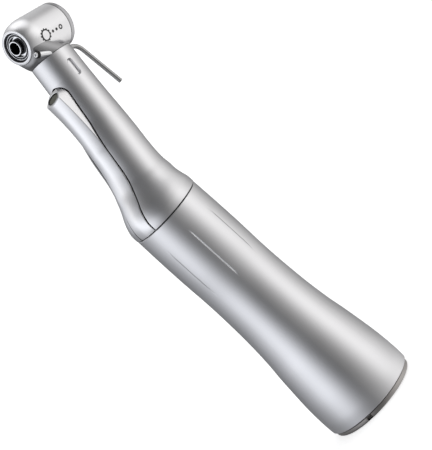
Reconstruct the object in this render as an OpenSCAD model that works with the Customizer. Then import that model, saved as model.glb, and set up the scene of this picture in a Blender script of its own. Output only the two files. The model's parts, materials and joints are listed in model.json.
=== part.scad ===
// Surgical contra-angle handpiece with a 20:1 reduction, an external irrigation pipe and a glass light guide.
// Origin: centre of the rear (motor) face.  +Z runs up the handle towards the head, the bur points to -X.

/* [Handle] */
// Largest radius of the handle, just ahead of the rear ring
handle_r = 10.2; // [10:0.05:10.5]
// Height of the thin rear ring that shows behind the sheath
ring_h = 1.2; // [0.8:0.1:1.6]
// Height of the seam where the handle sheath ends and the neck begins
seam_z = 54.6; // [54:0.1:55.5]
// Radius of the handle at the seam
seam_r = 7.8; // [7.6:0.05:8]
// Number of finger grooves round the sheath, just behind the seam
groove_count = 8; // [4:1:12]

/* [Neck] */
// Angle between the handle axis and the neck axis
bend = 14.5; // [12:0.5:16]
// Height on the handle axis where the two axes cross
pivot_z = 51.5; // [51:0.1:52]
// Distance from the crossing point to the front edge of the neck sleeve
neck_l = 39.4; // [39:0.1:40]
// Radius of the neck sleeve at its front edge
neck_r = 4.46; // [4.4:0.02:4.6]
// Half width of the light guide cover
cover_w = 2.46; // [2.2:0.02:2.6]

/* [Head] */
// Distance from the crossing point of the axes to the spindle axis
head_at = 44.3; // [44:0.1:45]
// Radius of the head barrel
head_r = 4.64; // [4.6:0.02:4.8]
// Distance from the neck axis to the rim of the nose
nose_h = 5.66; // [5.5:0.02:5.8]
// Radius of the nose rim
nose_r = 3.55; // [3.4:0.05:3.7]
// Distance from the neck axis to the rear edge of the barrel
barrel_back = 5.39; // [5.3:0.01:5.5]
// Radius of the hole for the bur shank
bur_r = 1.18; // [1.175:0.001:1.2]
// Travel of the push button
button_travel = 0.6; // [0.4:0.1:0.6]

/* [Gears] */
// Module of the first planetary stage
module_1 = 0.25; // [0.24:0.01:0.25]
// Module of the second planetary stage
module_2 = 0.2; // [0.19:0.01:0.2]
// Module of the head bevel pair at its large end
module_b = 0.4; // [0.38:0.01:0.4]
// Number of teeth on each bend gear
crown_teeth = 12; // [12:2:16]

/* [Hidden] */
$fn = 96;

// Clearances
running = 0.03;
gap = 0.05;
race_grey = [0.75, 0.76, 0.78];
ball_grey = [0.85, 0.86, 0.88];
groove_turn = 4;
recess_turn = 10;

// Rear coupling: stepped bore for the motor nose
mouth_r = 8;
nose_bore_r = 6;
dog_bore_r = 5;
shoulder_z = 5.25;
nose_end_z = 24;
coupling_end_z = 31;

// Handle shell
sheath_bore = 7.05;
core_r = 7;
rear_core_r = 7.65;
rear_core_end_z = 23;
flange_end_z = 12;

// Gearbox, heights on the handle axis
input_bearing_z = 31.4;
stage_1_z = 35.4;
stage_1_h = 3.1;
plate_1_z = 38.9;
stage_2_z = 41.2;
stage_2_h = 2.6;
plate_2_z = 44.2;
bush_z = 46.2;
housing_end_z = 54.5;
planet_at = 3;
pin_r = 0.45;
sun_teeth = 12;
planet_1_teeth = 12;
ring_1_teeth = 36;
planet_2_teeth = 18;
ring_2_teeth = 48;
ring_bore = 5.2;

// Bend gears
crown_r = 3.6;
crown_in = 2;
half_bend = bend / 2;
crown_add = 0.2;
crown_ded = 0.3;

// Neck
tube_r = 3.7;
neck_bore = 3.75;
cover_floor = 3.82;
arch_at = 31.5;
cover_lip = [31.6, 7.65];
cover_toe = [33.75, 4.45];
recess_at = 4.2;

// Light guide rod
rod_r = 0.75;

// Head, distances along the bur axis
cavity_r = 3.6;
bevel_teeth = 14;
bevel_at = module_b * bevel_teeth / 2;
bevel_face = 0.9;
spindle_r = 1.62;
spindle_tip = 6.07;
spindle_end = -4.3;
front_bearing_at = 3.3;
rear_bearing_at = -4.05;
nose_bore = 2.95;
cap_h = 1.3;
button_r = 3.16;

// Frames ------------------------------------------------------------------------------------------

// Local +Z runs along the neck axis towards the head, from the point where the axes cross.
module on_neck() translate([0, 0, pivot_z]) rotate([0, bend, 0]) children();

// Local +Z runs along the bur axis out of the nose, local +X along the neck axis away from the handle.
module on_head() on_neck() translate([0, 0, head_at]) rotate([0, -90, 0]) children();

// Position of a point given along the neck and out towards the bur side.
function neck_xz(l, h) = [l * sin(bend) - h * cos(bend), pivot_z + l * cos(bend) + h * sin(bend)];

// Shapes ------------------------------------------------------------------------------------------

// Smooth curve through a few points, steps segments between each pair.
function blend(a, b, c, d, t) =
  (2 * b + (c - a) * t + (2 * a - 5 * b + 4 * c - d) * t * t + (3 * b - a - 3 * c + d) * t * t * t) / 2;
function smooth(p, steps) = concat(
  [for (i = [0:len(p) - 2]) for (j = [0:steps - 1])
    blend(p[max(i - 1, 0)], p[i], p[i + 1], p[min(i + 2, len(p) - 1)], j / steps)],
  [p[len(p) - 1]]);

// Ring between two radii, from height z upwards.
module tube(inner, outer, z, h) {
  translate([0, 0, z]) difference() {
    cylinder(r = outer, h = h);
    translate([0, 0, -1]) cylinder(r = inner, h = h + 2);
  }
}

// Solid of revolution under a curve given as [height, radius] points.
module turned(curve) {
  rotate_extrude() polygon(concat([[0, curve[0][0]]], [for (p = curve) [p[1], p[0]]],
    [[0, curve[len(curve) - 1][0]]]));
}

// Closed surface through a row of rings with the same number of points each.
module skin(rings) {
  n = len(rings[0]);
  m = len(rings);
  polyhedron(points = [for (r = rings) each r], faces = concat(
    [[for (i = [0:n - 1]) i]],
    [[for (i = [n - 1:-1:0]) (m - 1) * n + i]],
    [for (j = [0:m - 2]) for (i = [0:n - 1]) [j * n + i, (j + 1) * n + (i + 1) % n, j * n + (i + 1) % n]],
    [for (j = [0:m - 2]) for (i = [0:n - 1]) [j * n + i, (j + 1) * n + i, (j + 1) * n + (i + 1) % n]]));
}

// Round rod swept along a path of [x, z] points in the plane of symmetry; radii gives one radius per point.
function unit(v) = v / norm(v);
function heading(p, i) = unit(p[min(i + 1, len(p) - 1)] - p[max(i - 1, 0)]);
module swept(path, radii, sides = 16) {
  skin([for (i = [0:len(path) - 1]) let (t = heading(path, i)) [for (k = [0:sides - 1])
    let (c = radii[i] * cos(360 * k / sides), s = radii[i] * sin(360 * k / sides))
    [path[i][0] + t[1] * c, s, path[i][1] - t[0] * c]]]);
}

// Outline of an external gear with flat tips, pitch-line corners and radial roots.
function gear_points(teeth, m, add = 0.8, ded = 1.15, tip_share = 0.2, pitch_share = 0.42) =
  let (pitch = m * teeth / 2, step = 360 / teeth)
  [for (i = [0:teeth - 1]) each
    [for (c = [[pitch - ded * m, -pitch_share], [pitch, -pitch_share], [pitch + add * m, -tip_share],
      [pitch + add * m, tip_share], [pitch, pitch_share], [pitch - ded * m, pitch_share]])
      let (a = (i + c[1] / 2) * step) [c[0] * cos(a), c[0] * sin(a)]]];
module gear_2d(teeth, m) polygon(gear_points(teeth, m));

// Gap shape of an internal gear: what is cut from the ring.
module ring_cut_2d(teeth, m) {
  polygon(gear_points(teeth, m, add = 1.1, ded = 0.7, tip_share = 0.34, pitch_share = 0.58));
}

// Spur gear with a bore, rotated so that it has a gap at angle 0 when half is true.
module spur(teeth, m, bore, z, h, half = false) {
  translate([0, 0, z]) difference() {
    rotate([0, 0, half ? 180 / teeth : 0]) linear_extrude(height = h) gear_2d(teeth, m);
    translate([0, 0, -1]) cylinder(r = bore, h = h + 2, $fn = 48);
  }
}

// Internal gear with a tooth at angle 0.
module ring_gear(teeth, m, z, h) {
  translate([0, 0, z]) difference() {
    cylinder(r = ring_bore, h = h);
    translate([0, 0, -1]) linear_extrude(height = h + 2) rotate([0, 0, 180 / teeth]) ring_cut_2d(teeth, m);
  }
}

// Straight bevel gear: large end at height 0, teeth run to the apex at height bevel_at.
module bevel(bore, half = false) {
  small = (bevel_at - bevel_face) / bevel_at;
  difference() {
    rotate([0, 0, half ? 180 / bevel_teeth : 0]) linear_extrude(height = bevel_face, scale = small)
      polygon(gear_points(bevel_teeth, module_b, add = 0.5, ded = 0.85, tip_share = 0.22, pitch_share = 0.4));
    translate([0, 0, -1]) cylinder(r = bore, h = bevel_face + 2, $fn = 48);
  }
}

// Gear with radial face teeth; the pitch cone's apex is at the local origin and the body lies below it.
module crown(bore, back) {
  slope = tan(half_bend);
  share = 0.38;
  difference() {
    union() {
      rotate_extrude() polygon([[0, -back], [crown_r, -back], [crown_r, -crown_r * slope - crown_ded],
        [crown_in, -crown_in * slope - crown_ded], [0, -crown_in * slope - crown_ded]]);
      intersection() {
        rotate_extrude() polygon([[crown_in, -back], [crown_r, -back], [crown_r, crown_add - crown_r * slope],
          [crown_in, crown_add - crown_in * slope]]);
        for (i = [0:crown_teeth - 1]) rotate([0, 0, 360 * i / crown_teeth])
          linear_extrude(height = 4, center = true)
            polygon([[0, 0], [5, 5 * tan(180 * share / crown_teeth)], [5, -5 * tan(180 * share / crown_teeth)]]);
      }
    }
    translate([0, 0, -back - 1]) cylinder(r = bore, h = back + 2, $fn = 48);
  }
}

// Ball bearing pieces: inner and outer radius, width, and ball radius. The balls run between two cage rings.
module race_outer(ri, ro, w, ball) {
  mid = (ri + ro) / 2;
  difference() {
    tube(mid + ball * 0.6, ro, 0, w);
    translate([0, 0, w / 2]) rotate_extrude() translate([mid, 0]) circle(r = ball + running, $fn = 32);
  }
}
module race_inner(ri, ro, w, ball) {
  mid = (ri + ro) / 2;
  difference() {
    tube(ri, mid - ball * 0.6, 0, w);
    translate([0, 0, w / 2]) rotate_extrude() translate([mid, 0]) circle(r = ball + running, $fn = 32);
  }
}
module ball_set(ri, ro, w, ball, count) {
  mid = (ri + ro) / 2;
  side_h = min(0.2, w / 2 - ball - 0.07);
  translate([0, 0, w / 2]) {
    for (i = [0:count - 1]) rotate([0, 0, 360 * i / count]) translate([mid, 0, 0]) sphere(r = ball, $fn = 32);
    for (side = [0, 1]) mirror([0, 0, side]) tube(mid - ball * 0.5, mid + ball * 0.5, ball + 0.04, side_h);
  }
}

// Handle shell ------------------------------------------------------------------------------------

handle_curve = smooth([[ring_h, handle_r - 0.06], [4, handle_r], [8, handle_r - 0.17], [12, 9.65], [16, 9.2],
  [20, 8.65], [25, 8.2], [30, 7.95], [36, 7.82], [43, 7.92], [49, 7.9], [seam_z, seam_r]], 4);

// One long shallow groove, cut to about a quarter of a millimetre.
module grip_groove() {
  translate([seam_r + 0.2, 0, seam_z - 17]) cylinder(r = 0.35, h = 12.6, $fn = 24);
}

module handle_sheath() color([0.78, 0.79, 0.81]) {
  difference() {
    turned(handle_curve);
    translate([0, 0, ring_h - 1]) cylinder(r = 8.5, h = flange_end_z - ring_h + 1);
    translate([0, 0, flange_end_z - 1])
      cylinder(r = rear_core_r + gap, h = rear_core_end_z - flange_end_z + 1);
    cylinder(r = sheath_bore, h = 60);
    for (i = [0:groove_count - 1]) rotate([0, 0, groove_turn + 360 * i / groove_count]) grip_groove();
    translate([-6.85, 0, rear_core_end_z - 0.5]) cylinder(r = rod_r + 0.07, h = 8, $fn = 32);
  }
}

module rear_ring() color([0.62, 0.63, 0.65]) {
  difference() {
    union() {
      rotate_extrude()
        polygon([[mouth_r, 0], [9.6, 0], [9.95, 0.35], [9.95, ring_h - gap], [mouth_r, ring_h - gap]]);
      tube(mouth_r, 8.45, ring_h - gap, shoulder_z - ring_h);
    }
    rotate([0, 0, 207]) translate([9.5, -0.6, -1]) cube([2, 1.2, 1.7]);
  }
}

// Inner sleeve that the motor nose plugs into.
module coupling_sleeve() color([0.55, 0.56, 0.58]) {
  difference() {
    union() {
      translate([0, 0, shoulder_z]) cylinder(r = 8.45, h = flange_end_z - shoulder_z);
      translate([0, 0, flange_end_z - 0.5])
        cylinder(r = rear_core_r, h = rear_core_end_z - flange_end_z + 0.5);
      translate([0, 0, rear_core_end_z - 0.5])
        cylinder(r = core_r, h = coupling_end_z - rear_core_end_z + 0.5);
    }
    translate([0, 0, shoulder_z - 1]) cylinder(r = nose_bore_r, h = nose_end_z - shoulder_z + 1);
    translate([0, 0, nose_end_z - 1]) cylinder(r = dog_bore_r, h = coupling_end_z - nose_end_z + 2);
    tube(0, nose_bore_r + 0.35, 20, 1);
    rod_slot(shoulder_z - 1, rear_core_end_z + 3, -6.85);
    rod_slot(nose_end_z + 0.6, coupling_end_z + 1, -6.25);
  }
}

// Spring ring in the sleeve's groove that snaps behind the motor nose.
module coupling_circlip() color([0.45, 0.46, 0.48]) {
  difference() {
    tube(nose_bore_r + 0.02, nose_bore_r + 0.3, 20.2, 0.6);
    translate([-nose_bore_r - 1, -0.9, 20]) cube([2, 1.8, 1]);
  }
}

// Clearance slot for the light guide in the round inner parts of the handle.
module rod_slot(z0, z1, x) {
  translate([x, 0, z0]) cylinder(r = rod_r + gap, h = z1 - z0, $fn = 32);
  translate([x - 3, -rod_r - gap, z0]) cube([3, 2 * (rod_r + gap), z1 - z0]);
}

module seam_o_ring() color([0.12, 0.12, 0.13]) {
  translate([0, 0, seam_z - 1.4]) rotate_extrude() translate([core_r - 0.35, 0]) circle(r = 0.32, $fn = 24);
}

// Gearbox -----------------------------------------------------------------------------------------

module gearbox_housing() color([0.5, 0.5, 0.53]) {
  difference() {
    translate([0, 0, coupling_end_z]) cylinder(r = core_r, h = housing_end_z - coupling_end_z);
    translate([0, 0, coupling_end_z - 1]) cylinder(r = 3.6, h = 4);
    translate([0, 0, 33.9]) cylinder(r = ring_bore, h = 12.1);
    translate([0, 0, 45.5]) cylinder(r = 3.4, h = 5);
    translate([0, 0, 49.4]) cylinder(r = 4.4, h = 6);
    rotate_extrude() translate([core_r - 0.32, seam_z - 1.4]) square([1.4, 0.8], center = true);
    rod_slot(coupling_end_z - 1, housing_end_z + 1, -6.25);
    rod_slot(46.2, housing_end_z + 1, -5.5);
  }
}

module ring_gear_1() color([0.7, 0.68, 0.6])
  ring_gear(ring_1_teeth, module_1, stage_1_z - 0.4, stage_1_h + 0.8);
module ring_gear_2() color([0.7, 0.68, 0.6])
  ring_gear(ring_2_teeth, module_2, stage_2_z - 0.4, stage_2_h + 0.8);

module output_bush() color([0.72, 0.55, 0.3]) tube(1.5 + running, 3.4, bush_z, 2.8);

module input_shaft() color([0.66, 0.67, 0.7]) {
  translate([0, 0, 28.4]) cylinder(r = 1.5, h = 6.5);
  translate([0, 0, 34.8]) cylinder(r = 0.8, h = stage_1_z + stage_1_h - 34.9);
}

// Fork that the motor's drive blade engages.
module drive_dog() color([0.6, 0.61, 0.63]) {
  difference() {
    union() {
      translate([0, 0, 28.4]) cylinder(r = 3.4, h = 1.9);
      tube(1.9, 3.4, 25.6, 3);
    }
    translate([0, 0, 28]) cylinder(r = 1.5, h = 4);
    translate([-5, -1.1, 25]) cube([10, 2.2, 3.4]);
  }
}

module at_input_bearing() translate([0, 0, input_bearing_z]) children();
module input_bearing_outer() color(race_grey) at_input_bearing() race_outer(1.5, 3.6, 2, 0.5);
module input_bearing_inner() color(race_grey) at_input_bearing() race_inner(1.5, 3.6, 2, 0.5);
module input_bearing_balls() color(ball_grey) at_input_bearing() ball_set(1.5, 3.6, 2, 0.5, 8);

module sun_gear_1() color([0.74, 0.7, 0.6]) spur(sun_teeth, module_1, 0.8, stage_1_z - 0.2, stage_1_h + 0.2);
module sun_gear_2() color([0.74, 0.7, 0.6]) spur(sun_teeth, module_2, 0.6, stage_2_z - 0.2, stage_2_h + 0.2);

module planet_1(index) {
  rotate([0, 0, 120 * index]) translate([planet_at, 0, 0])
    spur(planet_1_teeth, module_1, pin_r + running, stage_1_z, stage_1_h, true);
}
module planet_2(index) {
  rotate([0, 0, 120 * index]) translate([planet_at, 0, 0])
    spur(planet_2_teeth, module_2, pin_r + running, stage_2_z, stage_2_h, true);
}
module planet_gear_1a() color([0.74, 0.7, 0.6]) planet_1(0);
module planet_gear_1b() color([0.74, 0.7, 0.6]) planet_1(1);
module planet_gear_1c() color([0.74, 0.7, 0.6]) planet_1(2);
module planet_gear_2a() color([0.74, 0.7, 0.6]) planet_2(0);
module planet_gear_2b() color([0.74, 0.7, 0.6]) planet_2(1);
module planet_gear_2c() color([0.74, 0.7, 0.6]) planet_2(2);

// Three headed pins that run up from z0 through the planets into the carrier plate.
module pins(z0, z1) {
  for (i = [0:2]) rotate([0, 0, 120 * i]) translate([planet_at, 0, z0]) {
    cylinder(r = pin_r, h = z1 - z0, $fn = 32);
    cylinder(r = 0.8, h = 0.3, $fn = 32);
  }
}
module planet_pins_1() color([0.6, 0.6, 0.62]) pins(stage_1_z - 0.4, plate_1_z + 1);
module planet_pins_2() color([0.6, 0.6, 0.62]) pins(stage_2_z - 0.4, plate_2_z + 1.2);

module carrier_1() color([0.58, 0.6, 0.66]) {
  difference() {
    union() {
      translate([0, 0, plate_1_z]) cylinder(r = 4, h = 1);
      translate([0, 0, plate_1_z + 0.5]) cylinder(r = 0.6, h = stage_2_z + stage_2_h - plate_1_z - 0.5);
    }
    for (i = [0:2]) rotate([0, 0, 120 * i]) translate([planet_at, 0, plate_1_z - 1])
      cylinder(r = pin_r, h = 3, $fn = 32);
  }
}

module carrier_2() color([0.58, 0.6, 0.66]) {
  difference() {
    union() {
      translate([0, 0, plate_2_z]) cylinder(r = 4.3, h = 1.2);
      translate([0, 0, plate_2_z + 0.5]) cylinder(r = 1.5, h = 5);
      translate([0, 0, plate_2_z + 5]) cylinder(r = 0.9, h = 50.8 - plate_2_z - 5);
    }
    for (i = [0:2]) rotate([0, 0, 120 * i]) translate([planet_at, 0, plate_2_z - 1])
      cylinder(r = pin_r, h = 3, $fn = 32);
  }
}

module crown_gear_rear() color([0.74, 0.7, 0.6])
  translate([0, 0, pivot_z]) crown(0.9, pivot_z - plate_2_z - 5.5);

// Neck --------------------------------------------------------------------------------------------

module crown_gear_front() color([0.74, 0.7, 0.6]) {
  on_neck() rotate([0, 0, 180 / crown_teeth]) rotate([180, 0, 0]) crown(0.9, 1.8);
}

module neck_shaft() color([0.66, 0.67, 0.7]) on_neck() {
  translate([0, 0, 0.7]) cylinder(r = 0.9, h = 1.2);
  translate([0, 0, 1.8]) cylinder(r = 1.2, h = 34);
  translate([0, 0, 35.7]) cylinder(r = 1, h = head_at - bevel_at + 0.7 - 35.7);
}

module neck_bush() color([0.72, 0.55, 0.3]) on_neck() tube(1.2 + running, 2.3, 4.2, 3);

// Stiff inner tube of the neck: carries the shaft bush and joins the gearbox to the head.
module neck_core() color([0.5, 0.5, 0.53]) {
  difference() {
    union() {
      translate([0, 0, seam_z]) cylinder(r = 6.5, h = 1.7);
      on_neck() translate([0, 0, 4.2]) cylinder(r = tube_r, h = 30);
    }
    on_neck() translate([0, 0, 4.2]) cylinder(r = 2.3, h = 40);
    on_neck() translate([0, 0, -1]) cylinder(r = 2, h = 8);
    translate([-8, -rod_r - 0.1, seam_z - 1]) cube([4, 2 * rod_r + 0.2, 4]);
  }
}

neck_curve = smooth([[9.6, 5.75], [12, 5.25], [16, 5.04], [20, 5.02], [25, 4.84], [30, 4.62], [35, 4.5],
  [neck_l, neck_r]], 4);

// Outside of the neck: base ring in line with the handle, shoulder, and slim tapered tube.
module neck_body() {
  translate([0, 0, seam_z]) cylinder(r1 = seam_r, r2 = seam_r + 0.13, h = 2.6);
  hull() {
    translate([0, 0, seam_z + 2.5]) cylinder(r = seam_r + 0.1, h = 0.1, $fn = 64);
    on_neck() translate([0, 0, 9.6]) cylinder(r = 5.75, h = 0.1, $fn = 64);
  }
  on_neck() turned(neck_curve);
}

// Rounded-end slot that the light guide cover fills, grown by margin all round.
module cover_slot(margin) {
  w = cover_w + margin;
  on_neck() rotate([0, -90, 0]) translate([0, 0, cover_floor - margin]) linear_extrude(height = 10) {
    translate([arch_at, 0]) circle(r = w, $fn = 64);
    translate([-8, -w]) square([8 + arch_at, 2 * w]);
  }
}

module side_recess() {
  on_neck() for (side = [-1, 1]) rotate([0, 0, side * recess_turn]) translate([0, side * 4.8, neck_l - recess_at]) {
    for (u = [-1.2, 1.2]) translate([0, 0, u]) rotate([90, 0, 0]) cylinder(r = 0.6, h = 1, center = true, $fn = 32);
    translate([-0.6, -0.5, -1.2]) cube([1.2, 1, 2.4]);
  }
}

module neck_sleeve() color([0.78, 0.79, 0.81]) {
  difference() {
    neck_body();
    on_neck() translate([0, 0, 2]) cylinder(r = neck_bore, h = 50);
    translate([0, 0, seam_z - 1]) cylinder(r = 6.55, h = 2.75);
    cover_slot(0.04);
    side_recess();
    on_neck() translate([0, -0.5, neck_l - 0.75]) cube([6, 1, 2]);
    nozzle_line() translate([0, 0, -nozzle_h - 0.1]) cylinder(r = nozzle_r + 0.05, h = 3, $fn = 48);
  }
}

// Height of the cover's crest over the neck axis, along the neck.
cover_crest = smooth([[-1, 8.35], [3.4, 9.05], [6.2, 8.72], [9.6, 7.9], [13, 7.2], [17, 6.75], [21.5, 6.55],
  [25, 6.65], [28.5, 7.0], [32, 7.75], [36, 8.9]], 3);

// Cross-section of the cover at [distance, crest height].
function cover_ring(p) = let (d = 0.95) [for (c = [[3, 1], [p[1] - d, 1], [p[1] - d * 0.55, 0.86],
  [p[1] - d * 0.22, 0.6], [p[1] - d * 0.05, 0.3], [p[1], 0], [p[1] - d * 0.05, -0.3],
  [p[1] - d * 0.22, -0.6], [p[1] - d * 0.55, -0.86], [p[1] - d, -1], [3, -1]])
  [-c[0], c[1] * (cover_w + 0.3), p[0]]];

module neck_cover() color([0.84, 0.85, 0.87]) {
  toe = cover_toe - cover_lip;
  slant = atan2(toe[0], -toe[1]);
  difference() {
    intersection() {
      on_neck() skin([for (p = cover_crest) cover_ring(p)]);
      cover_slot(0);
      translate([0, 0, seam_z]) cylinder(r = 40, h = 60);
    }
    translate([0, 0, seam_z - 1]) cylinder(r = 6.6, h = 2.8);
    on_neck() translate([-cover_lip[1], -5, cover_lip[0]]) rotate([0, slant, 0])
      translate([-5, 0, 0]) cube([12, 10, 8]);
    swept(rod_path, [for (r = rod_radii) r + 0.04]);
  }
}

// Centre line of the light guide: rear face, step round the motor nose, along the gearbox, then up the neck.
rod_path = smooth([[-6.85, shoulder_z], [-6.85, 12], [-6.85, 21], [-6.85, 24.6], [-6.55, 26.8], [-6.3, 29],
  [-6.25, 34], [-6.25, 41], [-6.25, 46], [-5.95, 48.6], [-5.58, 51.5], [-5.5, 54], neck_xz(5, 6),
  neck_xz(10, 5.75), neck_xz(17, 5.45), neck_xz(24, 5.5), neck_xz(29, 5.9), neck_xz(35, 6.5)], 3);
rod_radii = [for (p = rod_path) p[1] < 75 ? rod_r : rod_r + min(p[1] - 75, 6) * 0.03];

module light_guide() color([0.75, 0.78, 0.7, 0.8]) {
  toe = cover_toe - cover_lip;
  slant = atan2(toe[0], -toe[1]);
  difference() {
    swept(rod_path, rod_radii);
    on_neck() translate([-cover_lip[1] - 0.1, -5, cover_lip[0] - 0.1]) rotate([0, slant, 0])
      translate([-5, 0, 0]) cube([12, 10, 8]);
  }
}

module at_neck_bearing() on_neck() translate([0, 0, 36]) children();
module neck_bearing_outer() color(race_grey) at_neck_bearing() race_outer(1, 3.1, 1.8, 0.45);
module neck_bearing_inner() color(race_grey) at_neck_bearing() race_inner(1, 3.1, 1.8, 0.45);
module neck_bearing_balls() color(ball_grey) at_neck_bearing() ball_set(1, 3.1, 1.8, 0.45, 9);

// Irrigation --------------------------------------------------------------------------------------

// The pipe leaves the neck on the cap side, turns back and runs out beside the neck, parallel to the handle.
pipe_at = 39.15;
pipe_r = 0.45;
pipe_turn = 71.5;
pipe_bend_r = 2.4;
module irrigation_pipe() color([0.7, 0.71, 0.73]) {
  on_neck() translate([3.25, 0, pipe_at]) {
    rotate([0, 90, 0]) tube(0.28, pipe_r, 0, 2.6);
    translate([2.6, 0, -pipe_bend_r]) rotate([90, 0, 0]) {
      rotate([0, 0, 90 - pipe_turn])
        rotate_extrude(angle = pipe_turn) translate([pipe_bend_r, 0]) difference() {
        circle(r = pipe_r, $fn = 48);
        circle(r = 0.28, $fn = 48);
      }
      rotate([0, 0, 90 - pipe_turn]) translate([pipe_bend_r, 0, 0]) rotate([90, 0, 0])
        tube(0.28, pipe_r, 0, 9.6);
    }
  }
}

// Short spray tube that aims at the bur tip.
nozzle_tip = [-3.6, -3.2, 5.6];
nozzle_tilt = 17;
nozzle_r = 0.55;
nozzle_h = 3.2;
module nozzle_line() on_head() translate(nozzle_tip) rotate([0, nozzle_tilt, 0]) children();
module spray_nozzle() color([0.72, 0.73, 0.75]) nozzle_line() tube(0.22, nozzle_r, -nozzle_h, nozzle_h);

// Head --------------------------------------------------------------------------------------------

barrel_curve = concat([[-barrel_back, 0], [-barrel_back, head_r], [1.9, head_r]],
  [for (a = [8:8:64]) [1.9 + 4.2 * sin(a), head_r - 2.45 * (1 - cos(a))]],
  [[nose_h - 0.08, nose_r + 0.02], [nose_h, nose_r - 0.06]]);

module head_housing() color([0.79, 0.8, 0.82]) {
  difference() {
    union() {
      on_head() turned(barrel_curve);
      hull() {
        on_head() translate([0, 0, nose_h - 0.7]) cylinder(r = nose_r - 0.12, h = 0.4, $fn = 64);
        on_neck() translate([0, 0, neck_l + 0.05]) cylinder(r = neck_r - 0.1, h = 0.4, $fn = 64);
      }
      on_neck() translate([0, 0, neck_l]) cylinder(r = neck_r - 0.03, h = 3);
      on_neck() translate([0, 0, 34.3]) cylinder(r = neck_bore - 0.01, h = 6);
    }
    on_head() {
      translate([0, 0, -barrel_back - 1]) cylinder(r = 3.9, h = 1.75);
      translate([0, 0, -barrel_back]) cylinder(r = cavity_r, h = barrel_back + 3.2);
      cylinder(r = nose_bore, h = 7);
    }
    on_neck() translate([0, 0, 33]) cylinder(r = 3.1, h = 9.6);
    on_neck() tube(3.4, 3.8, 38.85, 0.5);
    on_neck() translate([3, 0, pipe_at]) rotate([0, 90, 0]) cylinder(r = pipe_r + 0.01, h = 3, $fn = 48);
    nozzle_line() translate([0, 0, -nozzle_h]) cylinder(r = nozzle_r + 0.01, h = 5, $fn = 48);
    nozzle_line() translate([0, 0, -nozzle_h - 1.2]) cylinder(r = 0.3, h = 3, $fn = 32);
  }
}

module nose_ring() color([0.45, 0.46, 0.48]) on_head() tube(2, nose_bore - 0.01, 4.85, 0.4);

module back_cap() color([0.74, 0.75, 0.77]) on_head() {
  difference() {
    union() {
      rotate_extrude() polygon(concat([[0, -barrel_back - 0.04]], [[head_r - 0.02, -barrel_back - 0.04]],
        [for (a = [0:15:90]) [head_r - 0.52 + 0.5 * cos(a), -barrel_back - cap_h + 0.5 - 0.5 * sin(a)]],
        [[0, -barrel_back - cap_h]]));
      translate([0, 0, -barrel_back - 0.2]) cylinder(r = 3.88, h = 0.85);
    }
    translate([0, 0, -8]) cylinder(r = button_r + 0.04, h = 6);
    translate([0, 0, -barrel_back - 0.45]) cylinder(r = 3.5, h = 2);
  }
}

module push_button() color([0.8, 0.81, 0.83]) on_head() {
  top = -barrel_back - cap_h - 0.15;
  rotate_extrude() polygon([[0, top - 0.12], [1.6, top - 0.08], [2.7, top], [button_r - 0.12, top + 0.08],
    [button_r, top + 0.25], [button_r, -5.8], [3.42, -5.75], [3.42, -5.3], [0, -5.3]]);
  translate([0, 0, -5.4]) cylinder(r = 0.9, h = 0.45);
}

module button_spring() color([0.5, 0.5, 0.52]) on_head() {
  turns = 1.6;
  wire = 0.16;
  steps = 44;
  z0 = -5.3 + wire + 0.02;
  z1 = rear_bearing_at - wire - 0.02;
  skin([for (i = [0:steps]) let (a = 360 * turns * i / steps, z = z0 + (z1 - z0) * i / steps)
    [for (k = [0:7]) let (r = 3.05 + wire * cos(45 * k))
      [r * cos(a), r * sin(a), z - wire * sin(45 * k)]]]);
}

module spindle() color([0.68, 0.69, 0.72]) on_head() {
  difference() {
    translate([0, 0, spindle_end]) cylinder(r = spindle_r, h = spindle_tip - spindle_end);
    translate([0, 0, -1]) cylinder(r = bur_r, h = 10);
    translate([0, 0, spindle_end - 1]) cylinder(r = 1.4, h = 4.3);
    translate([0, 0, spindle_tip - 0.12]) cylinder(r1 = bur_r, r2 = bur_r + 0.14, h = 0.13);
  }
}

// Split spring sleeve that grips the bur shank.
module bur_collet() color([0.6, 0.6, 0.55]) on_head() {
  difference() {
    tube(bur_r, 1.4, spindle_end + 0.3, 2.9);
    translate([0, -0.15, spindle_end - 1]) cube([2, 0.3, 3.2]);
    rotate([0, 0, 180]) translate([0, -0.15, spindle_end - 1]) cube([2, 0.3, 3.2]);
  }
}

module shaft_bevel_gear() color([0.74, 0.7, 0.6]) on_neck() translate([0, 0, head_at - bevel_at]) {
  bevel(1);
  tube(1, 1.9, -1.4, 1.41);
}

module spindle_bevel_gear() color([0.74, 0.7, 0.6]) on_head() translate([0, 0, -bevel_at]) {
  bevel(spindle_r, true);
  tube(spindle_r, 2.3, -0.25, 0.26);
}

module at_front_bearing() on_head() translate([0, 0, front_bearing_at]) children();
module at_rear_bearing() on_head() translate([0, 0, rear_bearing_at]) children();
module front_bearing_outer() color(race_grey) at_front_bearing() race_outer(1.62, 2.95, 1.4, 0.33);
module front_bearing_inner() color(race_grey) at_front_bearing() race_inner(1.62, 2.95, 1.4, 0.33);
module front_bearing_balls() color(ball_grey) at_front_bearing() ball_set(1.62, 2.95, 1.4, 0.33, 10);
module rear_bearing_outer() color(race_grey) at_rear_bearing() race_outer(1.62, 3.6, 1, 0.33);
module rear_bearing_inner() color(race_grey) at_rear_bearing() race_inner(1.62, 3.6, 1, 0.33);
module rear_bearing_balls() color(ball_grey) at_rear_bearing() ball_set(1.62, 3.6, 1, 0.33, 10);

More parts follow.
